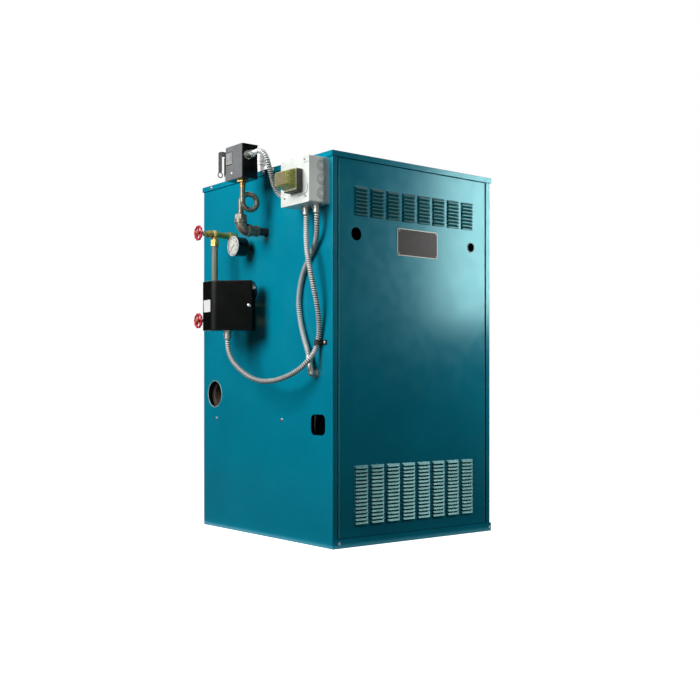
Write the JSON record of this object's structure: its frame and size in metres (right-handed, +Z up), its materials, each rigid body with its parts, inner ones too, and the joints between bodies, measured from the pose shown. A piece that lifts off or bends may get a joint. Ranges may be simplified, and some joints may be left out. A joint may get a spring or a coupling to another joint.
{
  "type": "gas steam boiler",
  "caption": "Cast-iron gas steam boiler in a louvred teal steel jacket, with gauge glass, siphon and pressure control, low-water cutoff, junction box and flexible conduits.",
  "frame": {"origin": "on the floor at the middle of the jacket's footprint", "axes": "+Z up, -Y out of the front door, -X out of the side that carries the controls"},
  "size_m": [0.6845, 0.6217, 1.084],
  "materials": {
    "jacket_paint": "gloss teal enamel on sheet steel",
    "galvanised_sheet": "galvanised sheet, matt",
    "cast_sections": "sand-cast, unpainted",
    "trim_brass": "turned brass, slightly dull",
    "valve_bronze": "cast bronze, tumbled",
    "lever_steel": "zinc-plated strip",
    "wheel_red": "red enamel on a casting",
    "gauge_tube": "clear borosilicate tube",
    "gauge_steel": "black enamel on drawn steel",
    "dial_white": "white enamel",
    "malleable_iron": "malleable iron with a little rust",
    "siphon_pipe": "plain bent steel pipe",
    "skim_cap_iron": "galvanised malleable cap",
    "control_black": "black enamel, semi-gloss",
    "control_grey": "grey enamel, semi-gloss",
    "cutoff_black": "black moulding",
    "probe_brass": "turned brass, dull",
    "box_steel": "galvanised pressed steel",
    "lamination_steel": "varnished laminations",
    "coil_tape": "varnished insulating tape",
    "connector_zinc": "die-cast zinc",
    "clip_steel": "black zinc-plated strap",
    "conduit_steel": "galvanised strip, wound and interlocked"
  },
  "bodies": {
    "boiler": {"left_side_panel": "jacket_paint", "right_side_panel": "jacket_paint", "rear_panel": "jacket_paint", "top_panel": "jacket_paint", "base_front_rail": "jacket_paint", "front_door": "jacket_paint", "base_pan": "galvanised_sheet", "combustion_base": "galvanised_sheet", "flue_collar": "galvanised_sheet", "boiler_sections": "cast_sections", "upper_gauge_cock": "trim_brass", "lower_gauge_cock": "trim_brass", "gauge_stem": "trim_brass", "control_neck": "trim_brass", "safety_valve": "valve_bronze", "gauge_glass": "gauge_tube", "gauge_case": "gauge_steel", "gauge_dial": "dial_white", "trim_coupling": "malleable_iron", "trim_elbow": "malleable_iron", "siphon_bushing": "malleable_iron", "skim_nipple": "malleable_iron", "trim_nipple": "malleable_iron", "siphon": "siphon_pipe", "skim_cap": "skim_cap_iron", "control_case": "control_black", "control_cover": "control_grey", "cutoff_case": "cutoff_black", "probe_fitting": "probe_brass", "junction_box": "box_steel", "junction_box_cover": "box_steel", "transformer_core": "lamination_steel", "transformer_coil": "coil_tape", "control_connector": "connector_zinc", "box_side_connector": "connector_zinc", "box_rear_drop_connector": "connector_zinc", "box_front_drop_connector": "connector_zinc", "cutoff_connector": "connector_zinc", "elbow_connector": "connector_zinc", "conduit_clip": "clip_steel", "limit_conduit": "conduit_steel", "cutoff_conduit": "conduit_steel", "valve_conduit": "conduit_steel"},
    "upper_wheel": {"upper_handwheel": "wheel_red"},
    "lower_wheel": {"lower_handwheel": "wheel_red"},
    "valve_lever": {"safety_lever": "lever_steel"}
  },
  "joints": [
    {"name": "upper_wheel_turn", "type": "hinge", "parent": "boiler", "child": "upper_wheel", "pos_m": [-0.396, 0.134, 0.817], "axis": [-1, 0, 0], "range_deg": [0, 450]},
    {"name": "lower_wheel_turn", "type": "hinge", "parent": "boiler", "child": "lower_wheel", "pos_m": [-0.396, 0.134, 0.579], "axis": [-1, 0, 0], "range_deg": [0, 450]},
    {"name": "valve_lever_lift", "type": "hinge", "parent": "boiler", "child": "valve_lever", "pos_m": [-0.214, 0.262, 1.079], "axis": [0, 1, 0], "range_deg": [0, 20]}
  ]
}
